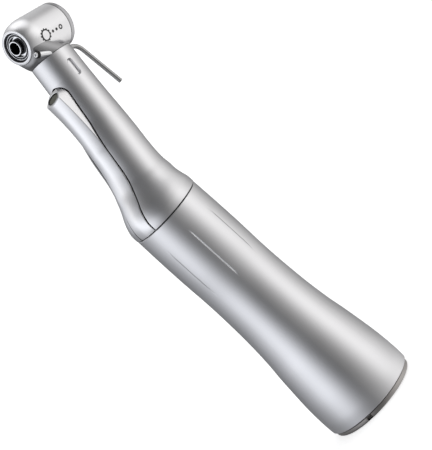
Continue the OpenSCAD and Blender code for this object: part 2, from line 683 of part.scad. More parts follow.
// -------------------------------------------------------------------------------------------------
rear_ring();
handle_sheath();
coupling_sleeve();
coupling_circlip();
gearbox_housing();
ring_gear_1();
ring_gear_2();
output_bush();
seam_o_ring();
neck_core();
neck_bush();
neck_sleeve();
neck_cover();
light_guide();
head_housing();
nose_ring();
back_cap();
irrigation_pipe();
spray_nozzle();
button_spring();
push_button();
input_shaft();
drive_dog();
sun_gear_1();
input_bearing_outer();
input_bearing_inner();
input_bearing_balls();
planet_gear_1a();
planet_gear_1b();
planet_gear_1c();
carrier_1();
planet_pins_1();
sun_gear_2();
planet_gear_2a();
planet_gear_2b();
planet_gear_2c();
carrier_2();
planet_pins_2();
crown_gear_rear();
crown_gear_front();
neck_shaft();
shaft_bevel_gear();
neck_bearing_outer();
neck_bearing_inner();
neck_bearing_balls();
spindle();
spindle_bevel_gear();
bur_collet();
front_bearing_outer();
front_bearing_inner();
front_bearing_balls();
rear_bearing_outer();
rear_bearing_inner();
rear_bearing_balls();
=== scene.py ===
"""Looks of a surgical contra-angle handpiece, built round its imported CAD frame.

Points, radii and heights are in millimetres, and MM turns them into metres. Handle coordinates have +Z toward
the head and the bur on the -X side. Neck coordinates follow the bent axis. Head coordinates have +Z along the
bur and +X forward along the neck.
"""
import json
import math

import bmesh
import bpy
from mathutils import Matrix, Vector


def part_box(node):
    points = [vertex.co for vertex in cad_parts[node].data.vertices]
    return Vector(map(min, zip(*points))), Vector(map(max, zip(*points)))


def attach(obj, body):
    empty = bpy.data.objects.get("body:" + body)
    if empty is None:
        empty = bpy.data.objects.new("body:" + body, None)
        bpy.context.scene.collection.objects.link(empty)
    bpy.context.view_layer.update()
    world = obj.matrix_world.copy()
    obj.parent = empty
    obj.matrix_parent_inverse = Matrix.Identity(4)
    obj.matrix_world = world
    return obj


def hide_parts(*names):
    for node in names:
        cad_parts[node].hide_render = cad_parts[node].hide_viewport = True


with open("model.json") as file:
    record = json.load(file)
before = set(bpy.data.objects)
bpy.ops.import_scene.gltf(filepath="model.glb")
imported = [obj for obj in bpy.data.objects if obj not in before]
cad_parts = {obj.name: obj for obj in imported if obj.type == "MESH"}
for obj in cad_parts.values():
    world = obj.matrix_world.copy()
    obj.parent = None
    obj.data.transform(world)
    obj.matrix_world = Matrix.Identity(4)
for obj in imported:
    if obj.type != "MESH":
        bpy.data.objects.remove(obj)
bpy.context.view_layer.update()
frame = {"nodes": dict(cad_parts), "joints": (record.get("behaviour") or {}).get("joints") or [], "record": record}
MM = 0.001
TAU = 2 * math.pi

# Axes and driving sizes, taken from the frame ---------------------------------------------------
joints = {j["name"]: j for j in frame["joints"]}
neck_dir = Vector(joints["neck_shaft_spin"]["axis"])
head_centre = Vector(joints["spindle_spin"]["pos_m"])
BEND = math.atan2(neck_dir.x, neck_dir.z)
PIVOT = head_centre - neck_dir * (head_centre.x / neck_dir.x)
HEAD_AT = (head_centre - PIVOT).length / MM
NECK = Matrix.Translation(PIVOT) @ Matrix.Rotation(BEND, 4, "Y")
HEAD = NECK @ Matrix.Translation((0, 0, HEAD_AT * MM)) @ Matrix.Rotation(-math.pi / 2, 4, "Y")
HANDLE = Matrix.Identity(4)
SEAM_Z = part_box("neck_sleeve")[0].z / MM
SHEATH_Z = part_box("handle_sheath")[0].z / MM
HANDLE_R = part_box("handle_sheath")[1].x / MM
# Neck: length and radius at its front edge, then half width of the cover's slot and where its arch starts.
NECK_L, NECK_R = 39.4, 4.46
SLOT_W, ARCH_AT = 2.5, 31.5
# Head: radii of barrel and nose, height of the nose, depth of the barrel's rear edge, height of the cap.
HEAD_R, NOSE_R = 4.64, 3.55
NOSE_H, BACK_H, CAP_H = 5.66, 5.39, 1.3


# Mesh helpers -----------------------------------------------------------------------------------
def blend(a, b, c, d, t):
    """Catmull-Rom value between b and c."""
    return (2 * b + (c - a) * t + (2 * a - 5 * b + 4 * c - d) * t * t + (3 * b - a - 3 * c + d) * t ** 3) / 2


def smooth(points, steps):
    """Smooth curve through a few points of any dimension."""
    out = []
    for i in range(len(points) - 1):
        around = [points[max(i - 1, 0)], points[i], points[i + 1], points[min(i + 2, len(points) - 1)]]
        for j in range(steps):
            out.append(tuple(blend(*values, j / steps) for values in zip(*around)))
    out.append(tuple(points[-1]))
    return out


def set_edges(bm, sharp):
    """Smooth faces, with hard edges where they meet at more than the given angle in degrees."""
    for face in bm.faces:
        face.smooth = True
    for edge in bm.edges:
        edge.smooth = not (len(edge.link_faces) == 2 and edge.calc_face_angle(0) > math.radians(sharp))


def finish_mesh(name, bm, sharp=35):
    """Mesh object from a bmesh, with merged points and outward normals."""
    bmesh.ops.remove_doubles(bm, verts=bm.verts, dist=1e-7)
    bmesh.ops.recalc_face_normals(bm, faces=bm.faces)
    set_edges(bm, sharp)
    mesh = bpy.data.meshes.new(name)
    bm.to_mesh(mesh)
    bm.free()
    piece = bpy.data.objects.new(name, mesh)
    bpy.context.scene.collection.objects.link(piece)
    return piece


def add_grid(bm, rows, matrix, around=True, along=False):
    """Quads between rows of points: each row closes on itself if around, the last row on the first if along."""
    verts = [[bm.verts.new(matrix @ (Vector(p) * MM)) for p in row] for row in rows]
    pairs = list(zip(verts, verts[1:])) + ([(verts[-1], verts[0])] if along else [])
    for low, high in pairs:
        n = len(low)
        for k in range(n if around else n - 1):
            bm.faces.new((low[k], low[(k + 1) % n], high[(k + 1) % n], high[k]))


def grid_piece(name, rows, matrix, sharp=35, around=True, along=False):
    """Mesh object from one grid of points."""
    bm = bmesh.new()
    add_grid(bm, rows, matrix, around, along)
    return finish_mesh(name, bm, sharp)


def turned(outline, segments):
    """Rows of points round local Z from an outline of (radius, height)."""
    return [[(r * math.cos(TAU * k / segments), r * math.sin(TAU * k / segments), h) for k in range(segments)]
            for r, h in outline]


def lathe(name, outline, matrix, segments):
    """Solid of revolution from a closed outline."""
    return grid_piece(name, turned(outline, segments), matrix, along=True)


def arc(cx, cy, r, a0, a1, steps=6):
    """Points on an arc, angles in degrees."""
    return [(cx + r * math.cos(math.radians(a0 + (a1 - a0) * i / steps)),
             cy + r * math.sin(math.radians(a0 + (a1 - a0) * i / steps))) for i in range(steps + 1)]


def tube_rows(path, outer, inner, sides=32):
    """Rings of a hollow round tube along points in the local XZ plane: outside forward, inside back."""
    def ring(i, radius):
        x, z = path[i]
        ax, az = path[max(i - 1, 0)]
        bx, bz = path[min(i + 1, len(path) - 1)]
        length = math.hypot(bx - ax, bz - az)
        nx, nz = (bz - az) / length, -(bx - ax) / length
        return [(x + radius * math.cos(TAU * k / sides) * nx, radius * math.sin(TAU * k / sides),
                 z + radius * math.cos(TAU * k / sides) * nz) for k in range(sides)]
    steps = range(len(path))
    return [ring(i, outer) for i in steps] + [ring(i, inner) for i in reversed(steps)]


def boolean(piece, cutter, operation):
    """Applies a boolean and deletes the cutter."""
    modifier = piece.modifiers.new("cut", "BOOLEAN")
    modifier.operation = operation
    modifier.object = cutter
    modifier.solver = "EXACT"
    bpy.context.view_layer.update()
    mesh = bpy.data.meshes.new_from_object(piece.evaluated_get(bpy.context.evaluated_depsgraph_get()))
    piece.modifiers.clear()
    piece.data = mesh
    bpy.data.objects.remove(cutter)


def resharpen(piece, sharp):
    """Sets the hard edges of a piece again after a boolean."""
    bm = bmesh.new()
    bm.from_mesh(piece.data)
    set_edges(bm, sharp)
    bm.to_mesh(piece.data)
    bm.free()


def closed_loft(name, rows):
    """Closed solid through rows of points that form loops, with flat ends."""
    bm = bmesh.new()
    verts = [[bm.verts.new(Vector(p) * MM) for p in row] for row in rows]
    for low, high in zip(verts, verts[1:]):
        n = len(low)
        for k in range(n):
            bm.faces.new((low[k], low[(k + 1) % n], high[(k + 1) % n], high[k]))
    bm.faces.new(list(reversed(verts[0])))
    bm.faces.new(verts[-1])
    return finish_mesh(name, bm)


# Materials --------------------------------------------------------------------------------------
GRAIN_SCALE, TONE_SCALE, RUBBER_SCALE = 900, 90, 700
BUMP_HEIGHT = 0.02 * MM
# Reach of the painted shade that ambient occlusion puts into the base colour in crevices.
PAINTED_SHADE_REACH = 0.2 * MM


def node_material(name):
    """New node material with its node and link lists and its main shader."""
    material = bpy.data.materials.new(name)
    material.use_nodes = True
    nodes, links = material.node_tree.nodes, material.node_tree.links
    return material, nodes, links, nodes["Principled BSDF"]


def noise_node(nodes, links, vector, scale, detail=2):
    """Noise at a scale per metre, on the given coordinates."""
    noise = nodes.new("ShaderNodeTexNoise")
    noise.inputs["Scale"].default_value = scale
    noise.inputs["Detail"].default_value = detail
    links.new(vector, noise.inputs["Vector"])
    return noise.outputs["Fac"]


def tone_node(nodes, links, source, colour, darker, ends=(0, 1)):
    """Colour that the noise moves between a darker tone and the full one."""
    ramp = nodes.new("ShaderNodeValToRGB")
    for element, at, share in zip(ramp.color_ramp.elements, ends, (darker, 1)):
        element.position = at
        element.color = (*[c * share for c in colour], 1)
    links.new(source, ramp.inputs["Fac"])
    return ramp.outputs["Color"]


def add_bump(nodes, links, source, shader, strength):
    """Bump of the surface from a noise."""
    bump = nodes.new("ShaderNodeBump")
    bump.inputs["Strength"].default_value = strength
    bump.inputs["Distance"].default_value = BUMP_HEIGHT
    links.new(source, bump.inputs["Height"])
    links.new(bump.outputs["Normal"], shader.inputs["Normal"])


def metal(name, colour, rough, grain=0.02, brushed=(1, 1, 1), spread=0.06):
    """Satin steel: blasted grain in the bump, slow changes in roughness and tone, fine lines if brushed, and
    painted shade from ambient occlusion that darkens the base colour in crevices.
    """
    material, nodes, links, shader = node_material(name)
    place = nodes.new("ShaderNodeTexCoord").outputs["Object"]
    scale = nodes.new("ShaderNodeMapping")
    scale.inputs["Scale"].default_value = brushed
    links.new(place, scale.inputs["Vector"])
    fine = noise_node(nodes, links, scale.outputs["Vector"], GRAIN_SCALE, 4)
    slow = noise_node(nodes, links, place, TONE_SCALE, 5)
    gloss = nodes.new("ShaderNodeMapRange")
    gloss.inputs["To Min"].default_value = rough - spread
    gloss.inputs["To Max"].default_value = rough + spread
    links.new(slow, gloss.inputs["Value"])
    links.new(gloss.outputs["Result"], shader.inputs["Roughness"])
    # Painted shade: ambient occlusion darkens the base colour wherever other surfaces stand close.
    crevice_shade = nodes.new("ShaderNodeAmbientOcclusion")
    crevice_shade.inputs["Distance"].default_value = PAINTED_SHADE_REACH
    crevice_shade.samples = 6
    links.new(tone_node(nodes, links, slow, colour, 0.94, (0.3, 0.7)), crevice_shade.inputs["Color"])
    links.new(crevice_shade.outputs["Color"], shader.inputs["Base Color"])
    add_bump(nodes, links, fine, shader, grain)
    shader.inputs["Metallic"].default_value = 1
    return material


def dielectric(name, colour, rough, transmission=0.0):
    """Rubber, enamel or glass with a slightly uneven surface."""
    material, nodes, links, shader = node_material(name)
    place = nodes.new("ShaderNodeTexCoord").outputs["Object"]
    noise = noise_node(nodes, links, place, RUBBER_SCALE)
    links.new(tone_node(nodes, links, noise, colour, 0.8), shader.inputs["Base Color"])
    add_bump(nodes, links, noise, shader, 0.1)
    shader.inputs["Roughness"].default_value = rough
    shader.inputs["Transmission Weight"].default_value = transmission
    return material


shell_metal = metal("satin_shell", (0.8, 0.8, 0.82), 0.33)
cover_metal = metal("satin_cover", (0.93, 0.93, 0.95), 0.36)
ring_metal = metal("turned_ring", (0.72, 0.72, 0.74), 0.3, brushed=(1, 1, 8))
dark_metal = metal("machined_core", (0.32, 0.32, 0.34), 0.4)
gear_metal = metal("hardened_gear", (0.5, 0.47, 0.42), 0.3)
bright_metal = metal("polished_race", (0.85, 0.86, 0.88), 0.14, spread=0.03)
tube_metal = metal("drawn_tube", (0.42, 0.42, 0.42), 0.24)
# Base colour darker than the shell's, which stands in for the shade on the cap's side.
cap_metal = metal("turned_cap", (0.52, 0.52, 0.54), 0.3)
barrel_metal = metal("satin_head", (0.89, 0.89, 0.91), 0.33)
# Darker version of the head's steel that paints the shade on the chin and foot.
chin_shade_metal = metal("chin_painted_shade", (0.4, 0.4, 0.41), 0.4)
# Near-black steel that paints the shade in the nose's recess and the spindle's bore.
recess_shade_metal = metal("recess_painted_shade", (0.07, 0.07, 0.075), 0.35)
rear_metal = metal("rear_steel", (0.42, 0.4, 0.39), 0.3, brushed=(1, 1, 8))
bronze_metal = metal("sintered_bronze", (0.6, 0.4, 0.2), 0.5, grain=0.2)
rubber = dielectric("seal_rubber", (0.03, 0.03, 0.03), 0.6)
# Near-black material that paints the shadow inside gaps and joints.
gap_shadow_paint = dielectric("painted_gap_shadow", (0.012, 0.012, 0.012), 0.8)
enamel = dielectric("mark_enamel", (0.02, 0.02, 0.022), 0.45)
glass = dielectric("guide_glass", (0.16, 0.165, 0.12), 0.12, 0.25)


def dress(piece, material, replaced=(), body="housing"):
    """Gives a piece its material, its body and the CAD nodes that it replaces."""
    piece.data.materials.clear()
    piece.data.materials.append(material)
    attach(piece, body)
    if replaced:
        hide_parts(*replaced)


# Handle -----------------------------------------------------------------------------------------
# Outside of the handle as (height, radius).
HANDLE_CURVE = [(SHEATH_Z, HANDLE_R - 0.06), (4, HANDLE_R), (8, HANDLE_R - 0.17), (12, 9.65), (16, 9.2),
                (20, 8.65), (25, 8.2), (30, 7.95), (36, 7.82), (43, 7.92), (49, 7.9), (SEAM_Z, 7.8)]
HANDLE_RIM = 0.12
GROOVES = 8
GROOVE_TURN = math.radians(4)
GROOVE_LOW, GROOVE_HIGH = SEAM_Z - 17, SEAM_Z - 4.3
GROOVE_HALF, GROOVE_DEPTH = 0.14, 0.08
GROOVE_SPAN = math.radians(1.6)


def groove_depth(z, off):
    """Depth of a finger groove at height z, off millimetres beside its centre line."""
    along = (z - GROOVE_LOW) / (GROOVE_HIGH - GROOVE_LOW)
    if not 0 < along < 1 or abs(off) > GROOVE_HALF:
        return 0
    ends = min(1, 5 * along, 5 * (1 - along))
    across = 0.5 + 0.5 * math.cos(math.pi * off / GROOVE_HALF)
    return GROOVE_DEPTH * math.sqrt(ends) * across


def handle_angles():
    """Angles round the handle, close together at each groove."""
    pitch = TAU / GROOVES
    angles = []
    for i in range(GROOVES):
        at = GROOVE_TURN + i * pitch
        angles += [at + GROOVE_SPAN * k / 9 for k in range(-9, 10)]
        angles += [at + GROOVE_SPAN + (pitch - 2 * GROOVE_SPAN) * k / 16 for k in range(1, 16)]
    return angles


def build_handle():
    """Grooved outside of the handle with its stepped bore."""
    angles = handle_angles()
    curve = smooth(HANDLE_CURVE, 14)
    z0, z1 = curve[0][0], curve[-1][0]
    outline = [(z0, curve[0][1] - HANDLE_RIM), (z0 + HANDLE_RIM, curve[0][1])] + curve[1:-1]
    outline += [(z1 - HANDLE_RIM, curve[-1][1]), (z1, curve[-1][1] - HANDLE_RIM)]
    rows = []
    for z, r in outline:
        row = []
        for a in angles:
            off = (a - GROOVE_TURN + math.pi / GROOVES) % (TAU / GROOVES) - math.pi / GROOVES
            deep = r - groove_depth(z, off * r)
            row.append((deep * math.cos(a), deep * math.sin(a), z))
        rows.append(row)
    bore = ((7.05, z1), (7.05, 23), (7.7, 23), (7.7, 12), (8.5, 12), (8.5, z0))
    rows += [[(r * math.cos(a), r * math.sin(a), z) for a in angles] for r, z in bore]
    shell = grid_piece("handle_shell", rows, HANDLE, 40, along=True)
    dress(shell, shell_metal, ["handle_sheath"])


# Notch in the rear ring: where it is and its half width, then its depth and height.
NOTCH_AT, NOTCH_HALF = math.radians(207), math.radians(3.6)
NOTCH_DEEP, NOTCH_HIGH = 0.55, 0.75


def build_rear_ring():
    """Thin ring behind the sheath with a dark step at its joint and a small notch."""
    top = SHEATH_Z
    outline = [(8, 0), (9.35, 0)] + arc(9.4, 0.35, 0.35, -90, 0)
    outline += [(9.75, top - 0.3), (9.6, top - 0.18), (9.4, top - 0.18), (9.4, top - 0.06), (8.45, top - 0.06),
                (8.45, 5.2), (8, 5.2)]
    segments = 360
    rows = []
    for r, h in outline:
        row = []
        for k in range(segments):
            a = TAU * k / segments
            away = abs((a - NOTCH_AT + math.pi) % TAU - math.pi)
            cut = NOTCH_DEEP if away < NOTCH_HALF and r > 9.4 and h < NOTCH_HIGH else 0
            row.append(((r - cut) * math.cos(a), (r - cut) * math.sin(a), h))
        rows.append(row)
    dress(grid_piece("rear_ring_shell", rows, HANDLE, along=True), rear_metal, ["rear_ring"])


# Neck -------------------------------------------------------------------------------------------
# Rings of the neck's base: centre x, centre z, tilt, radius, half width of the cover's slot, height of the
# slot's edge over the centre, height of the cover's side edge, height of the cover's crest.
BASE_RINGS = [
    (0, SEAM_Z + 0.19, 0, 7.85, 2.45, 7.46, 7.5, 7.9),
    (0, SEAM_Z + 0.9, 0, 7.86, 2.45, 7.47, 7.58, 7.96),
    (0.02, SEAM_Z + 1.7, 0.01, 7.8, 2.45, 7.4, 7.54, 7.98),
    (0.1, SEAM_Z + 2.5, 0.03, 7.6, 2.46, 7.19, 7.38, 7.88),
    (0.3, SEAM_Z + 3.3, 0.06, 7.33, 2.48, 6.95, 7.16, 7.72),
    (0.62, SEAM_Z + 4.0, 0.1, 7.03, 2.5, 6.72, 6.97, 7.56),
    (1.1, SEAM_Z + 4.8, 0.15, 6.65, 2.55, 6.45, 6.8, 7.4),
    (1.75, SEAM_Z + 5.6, 0.2, 6.2, 2.6, 6.4, 6.7, 7.36),
]
# The same from the radius on for the slim part, each with its distance along the neck.
NECK_RINGS = [
    (9.9, 5.72, 2.65, 6.45, 6.75, 7.27),
    (11.4, 5.36, 2.7, 6.02, 6.34, 6.92),
    (13.5, 5.13, 2.7, 5.7, 5.93, 6.58),
    (16, 5.04, 2.68, 5.56, 5.66, 6.42),
    (18.5, 5.03, 2.65, 5.44, 5.52, 6.36),
    (20, 5.02, 2.62, 5.28, 5.44, 6.28),
    (22.6, 4.93, 2.57, 4.9, 5.46, 6.27),
    (25, 4.84, 2.5, 4.45, 5.61, 6.4),
    (28, 4.7, 2.46, 4.22, 5.98, 6.7),
    (31.5, 4.58, 2.46, 3.97, 6.65, 7.25),
    (35, 4.5, 2.46, 3.78, 7.5, 8.1),
    (NECK_L - 0.1, NECK_R, 2.46, 3.72, 8.5, 9),
]
# Oblong recess on each side: distance along the neck and half length of its middle, radius, depth, width of its
# soft edge, angle from the slot, and the distance along the neck before which there is none.
RECESS_L, RECESS_HALF = NECK_L - 4.35, 1.15
RECESS_R, RECESS_DEEP, RECESS_EDGE = 0.64, 0.5, 0.11
RECESS_ANGLE = math.radians(80)
RECESS_FROM = 30
# Share of its shift toward the bur side by which a ring of the neck also grows.
SKIN_GROW = 0.7
# Walls of the slot: how far they stand inside its edge and how deep they go.
WALL_INSET, WALL_DEEP = 0.02, 1.3
# Half width round the slot, and height over the seam, in which faces of the neck take the near-black material that
# paints the shadow in the gaps.
SLOT_REACH, SEAM_SHADOW_HEIGHT = 2.8, 0.14
NECK_BORE = 3.75


def neck_point(l, h=0.0):
    """(x, z) of a point l along the neck and h out on the bur side."""
    p = NECK @ Vector((-h * MM, 0, l * MM))
    return p.x / MM, p.z / MM


def along_neck(x, z):
    """Distance of a point along the neck's axis."""
    return (x - PIVOT.x / MM) * math.sin(BEND) + (z - PIVOT.z / MM) * math.cos(BEND)


def neck_rings(step):
    """Rings from the seam to the front edge, about a step apart, each led by its distance along the neck."""
    rings = BASE_RINGS + [(*neck_point(l), BEND, *rest) for l, *rest in NECK_RINGS]
    fine = []
    for i, (a, b) in enumerate(zip(rings, rings[1:])):
        around = [rings[max(i - 1, 0)], a, b, rings[min(i + 2, len(rings) - 1)]]
        steps = max(3, int(math.hypot(b[0] - a[0], b[1] - a[1]) / step))
        fine += [tuple(blend(*v, j / steps) for v in zip(*around)) for j in range(steps)]
    fine.append(rings[-1])
    return [(along_neck(r[0], r[1]), *r) for r in fine]


def recess_depth(l, off):
    """Depth of the oblong recess on each side of the neck."""
    far = math.hypot(max(abs(l - RECESS_L) - RECESS_HALF, 0), off)
    t = min(1, max(0, (RECESS_R - far) / RECESS_EDGE))
    return RECESS_DEEP * t * t * (3 - 2 * t)


def arch_share(l):
    """Share of its full width that the slot has at a distance along the neck: it ends in a round arch."""
    if l < ARCH_AT:
        return 1
    return math.sqrt(max(1 - ((l - ARCH_AT) / SLOT_W) ** 2, 0))


def neck_angles(start):
    """Angles from the slot's edge on one side round to the other, close together at the recesses."""
    low, high = RECESS_ANGLE - math.radians(10), RECESS_ANGLE + math.radians(10)
    marks = [(start, 30), (low, 36), (high, 50), (TAU - high, 36), (TAU - low, 30)]
    ends = [m[0] for m in marks[1:]] + [TAU - start]
    angles = []
    for (a, n), b in zip(marks, ends):
        angles += [a + (b - a) * k / n for k in range(n)]
    return angles + [TAU - start]


def ring_place(cx, cz, tilt):
    """Matrix of a ring of the neck, in millimetres."""
    return Matrix.Translation((cx, 0, cz)) @ Matrix.Rotation(tilt, 4, "Y")


def neck_row(l, cx, cz, tilt, r, half, edge):
    """Ring of the neck's skin: a circle moved toward the bur side until it meets the slot's edges, with the
    slot's walls at its two ends."""
    place = ring_place(cx, cz, tilt)
    # Settles on the shift at which the grown circle passes through both edges of the slot.
    off = 0
    for _ in range(24):
        off = 0.5 * off + 0.5 * (edge - math.sqrt((r + SKIN_GROW * off) ** 2 - half * half))
    row = []
    for a in neck_angles(math.atan2(half, edge - off)):
        deep = r + SKIN_GROW * off
        if l > RECESS_FROM:
            deep -= recess_depth(l, (min(a, TAU - a) - RECESS_ANGLE) * r)
        row.append(place @ Vector((-off - deep * math.cos(a), deep * math.sin(a), 0)))
    walls = [(edge - down, half - WALL_INSET) for down in (0.02, 0.05, WALL_DEEP)]
    if half < 0.05:
        walls = [(edge, 0)] * 3
    high = [place @ Vector((-d, y, 0)) for d, y in reversed(walls)]
    low = [place @ Vector((-d, -y, 0)) for d, y in walls]
    return high + row + low


def neck_rows():
    """All rings of the neck's skin: rim at the seam, skin, front edge and bore."""
    rows = []
    for l, cx, cz, tilt, r, half, edge, _, _ in neck_rings(0.14):
        if not rows:
            for radius in (6.6, r - 0.14):
                rim_edge = math.sqrt(radius ** 2 - half ** 2)
                rows.append(neck_row(l, 0, SEAM_Z + 0.04, 0, radius, half, rim_edge))
        share = arch_share(l)
        proud = edge - math.sqrt(r * r - half * half)
        round_edge = math.sqrt(r * r - (half * share) ** 2)
        rows.append(neck_row(l, cx, cz, tilt, r, half * share, round_edge + proud * share))
    for r, l in ((NECK_R - 0.1, NECK_L), (NECK_BORE, NECK_L), (NECK_BORE, NECK_L - 4)):
        x, z = neck_point(l)
        rows.append(neck_row(0, x, z, BEND, r, 0, r))
    return rows


def build_neck():
    """Neck sleeve skin, open on the bur side for the cover, with its walls in the slot and a band at the seam in a
    near-black material that paints the shadow in the gaps.
    """
    neck = grid_piece("neck_shell", neck_rows(), HANDLE, 40, around=False)
    dress(neck, shell_metal, ["neck_sleeve"])
    neck.data.materials.append(gap_shadow_paint)
    bur_dir = HEAD.to_3x3() @ Vector((0, 0, 1))
    # Painted shadow: the slot's walls and the band at the seam get the near-black gap material.
    for face in neck.data.polygons:
        at = face.center / MM
        below_arch = along_neck(at.x, at.z) < ARCH_AT + SLOT_W + 0.3
        in_slot = abs(at.y) < SLOT_REACH and at.z > SEAM_Z + 0.3 and below_arch
        if in_slot and abs(bur_dir.dot(face.normal)) < 0.5:
            face.material_index = 1
        if at.z < SEAM_Z + SEAM_SHADOW_HEIGHT:
            face.material_index = 1


# Light guide cover ------------------------------------------------------------------------------
# The oblique front face of the cover runs from above the lip to the foot of the arch: (along, out) on the neck.
FACE_TOP, FACE_FOOT = (31.0, 7.6), (34.2, 4.45)
# Gap beside the cover, how flat its dome is, and how deep it goes into the slot over the shoulder and further on.
COVER_GAP, DOME_POWER = 0.25, 1.7
SHOULDER_END, FLOOR_OVER_SHOULDER, FLOOR_FURTHER = 9, 6.0, 3.2
# Oval window in face coordinates: distance of its centre below the lip, half length, half width.
WINDOW_AT, WINDOW_LONG, WINDOW_WIDE = 2.05, 1.08, 1.72


def cover_rows():
    """Cross-sections of the cover: low dome with crisp edges, and walls down into the slot."""
    rows = []
    for l, cx, cz, tilt, _, half, edge, side, crest in neck_rings(0.3):
        if l > ARCH_AT + SLOT_W - 0.2:
            break
        wide = half * arch_share(l) - COVER_GAP
        place = ring_place(cx, cz, tilt)
        dome = []
        for k in range(33):
            u = -1 + k / 16
            dome.append((crest - (crest - side) * abs(u) ** DOME_POWER, u * (wide - 0.05)))
        floor = FLOOR_FURTHER if l > SHOULDER_END else FLOOR_OVER_SHOULDER
        walls = [(side - 0.05, wide), (max(side - 0.1, edge), wide), (edge - 0.12, wide), (floor, wide)]
        points = [(d, -y) for d, y in reversed(walls)] + dome + walls
        rows.append([place @ Vector((-d, y, 0)) for d, y in points])
    return rows


def face_matrix():
    """Matrix of the oblique face: x down the face, y across, z out of it."""
    ends = (neck_point(*FACE_TOP), neck_point(*FACE_FOOT))
    top, foot = (Vector((x, 0, z)) for x, z in ends)
    down = (foot - top).normalized()
    across = Vector((0, 1, 0))
    out = down.cross(across)
    if out.dot(neck_dir) < 0:
        across, out = -across, -out
    return Matrix.Translation(top * MM) @ Matrix((down, across, out)).transposed().to_4x4()


def window_ring(grow, h, share=1, n=96):
    """Oval round the window in face coordinates, grown by a margin and then scaled about its centre."""
    long, wide = (WINDOW_LONG + grow) * share, (WINDOW_WIDE + grow) * share
    return [(WINDOW_AT + long * math.cos(TAU * k / n), wide * math.sin(TAU * k / n), h) for k in range(n)]


def build_cover():
    """Cover of the light guide, cut off at its oblique face and opened for the window."""
    face = face_matrix()

    def cut(name, loops):
        rows = [[face @ (Vector(p) * MM) / MM for p in loop] for loop in loops]
        boolean(cover, closed_loft(name, rows), "DIFFERENCE")

    cover = closed_loft("light_cover", cover_rows())
    cut("face_cut", [[(x, y, h) for x, y in ((-3, -5), (7, -5), (7, 5), (-3, 5))] for h in (0, 7)])
    cut("window_cut", [window_ring(0, h) for h in (-0.9, 1)])
    resharpen(cover, 30)
    dress(cover, cover_metal, ["neck_cover"])


def build_guide_window():
    """Ground oval end of the glass rod, a little below the face, with a near-black ring that paints the shadow in
    its joint, and a thin bright rim.
    """
    face = face_matrix()
    disc = [window_ring(-0.04, h) for h in (-0.8, -0.16)]
    disc += [window_ring(-0.12, -0.12 + 0.02 * k / 6, 1.001 - k / 6) for k in range(7)]
    dress(grid_piece("guide_window", disc, face, 30), glass, ["light_guide"])
    # Painted shadow: near-black ring in the joint round the window.
    joint_shadow = [window_ring(*at) for at in ((-0.24, -0.3), (-0.24, -0.06), (-0.03, -0.06), (-0.03, -0.3))]
    dress(grid_piece("guide_gap_shadow", joint_shadow, face, 30, along=True), gap_shadow_paint)
    rim = [window_ring(*at) for at in ((-0.03, -0.3), (-0.03, 0.02), (0.02, 0.06), (0.1, 0.05), (0.12, -0.3))]
    dress(grid_piece("guide_frame", rim, face, 30, along=True), bright_metal)


# Head -------------------------------------------------------------------------------------------
# Spray nozzle: middle of its mouth in head coordinates, its lean away from the bur, its radius.
NOZZLE_TIP = Vector((-3.6, -3.2, 5.6))
NOZZLE_TILT = math.radians(17)
NOZZLE_R = 0.55
# Neck's front edge in head coordinates.
FOOT = NECK_L - HEAD_AT
# Chin: degrees that it reaches round each side, how it is pulled in halfway down, share of the way to its centre
# by which its inside lies deeper.
CHIN_REACH, CHIN_PULL = 104, (-0.5, 0.42)
CHIN_CENTRE, CHIN_WALL = Vector((0, 0, 2.0)), 0.08


def barrel_outline():
    """Outside of the barrel from its rear edge over the shoulder to the nose, then the stepped bore."""
    inset, start, rise = 2.45, 1.9, 4.2
    shoulder = [(HEAD_R - inset * (1 - math.cos(a)), start + rise * math.sin(a))
                for a in (math.radians(64 * k / 20) for k in range(21))]
    outside = [(HEAD_R - 0.08, -BACK_H), (HEAD_R, -BACK_H + 0.08)] + shoulder
    rim = [(NOSE_R + 0.03, NOSE_H - 0.16), (NOSE_R - 0.04, NOSE_H - 0.04), (NOSE_R - 0.14, NOSE_H),
           (3.0, NOSE_H), (2.95, NOSE_H - 0.06)]
    inside = [(2.95, 3.2), (3.6, 3.2), (3.6, -4.6), (3.9, -4.6), (3.9, -BACK_H)]
    return outside + rim + inside


def chin_rows():
    """Chin between the neck's front edge and the lower rim of the nose, outside and then inside."""
    rows = []
    across, along = 150, 70
    for i in range(along + 1):
        t = i / along
        row = []
        for k in range(across + 1):
            th = math.radians(-CHIN_REACH + 2 * CHIN_REACH * k / across)
            foot = Vector((FOOT + 0.02, (NECK_R - 0.03) * math.sin(th), (NECK_R - 0.03) * math.cos(th)))
            rim = Vector((-(NOSE_R - 0.03) * math.cos(th), (NOSE_R - 0.03) * math.sin(th), NOSE_H - 0.3))
            pull = max(math.cos(th), 0)
            middle = (foot + rim) / 2 + Vector((CHIN_PULL[0] * pull, 0, CHIN_PULL[1] * pull))
            row.append(foot * (1 - t) ** 2 + middle * 2 * t * (1 - t) + rim * t ** 2)
        rows.append(row)
    inner = [[p + (CHIN_CENTRE - p) * CHIN_WALL for p in row] for row in rows]
    return rows + list(reversed(inner))


def collar_rows(segments=160):
    """Short concave foot between the neck's front edge and the barrel, with its bore."""
    steps = [(0, NECK_R - 0.09), (0.05, NECK_R - 0.03), (0.2, NECK_R - 0.05), (0.34, NECK_R - 0.2),
             (0.5, NECK_R - 0.5), (0.75, NECK_R - 0.95), (1.1, NECK_R - 1.5), (2.2, NECK_R - 2.4),
             (1, 1.6), (0, 1.8)]
    return [[(FOOT + up, r * math.sin(TAU * k / segments), r * math.cos(TAU * k / segments))
             for k in range(segments)] for up, r in steps]


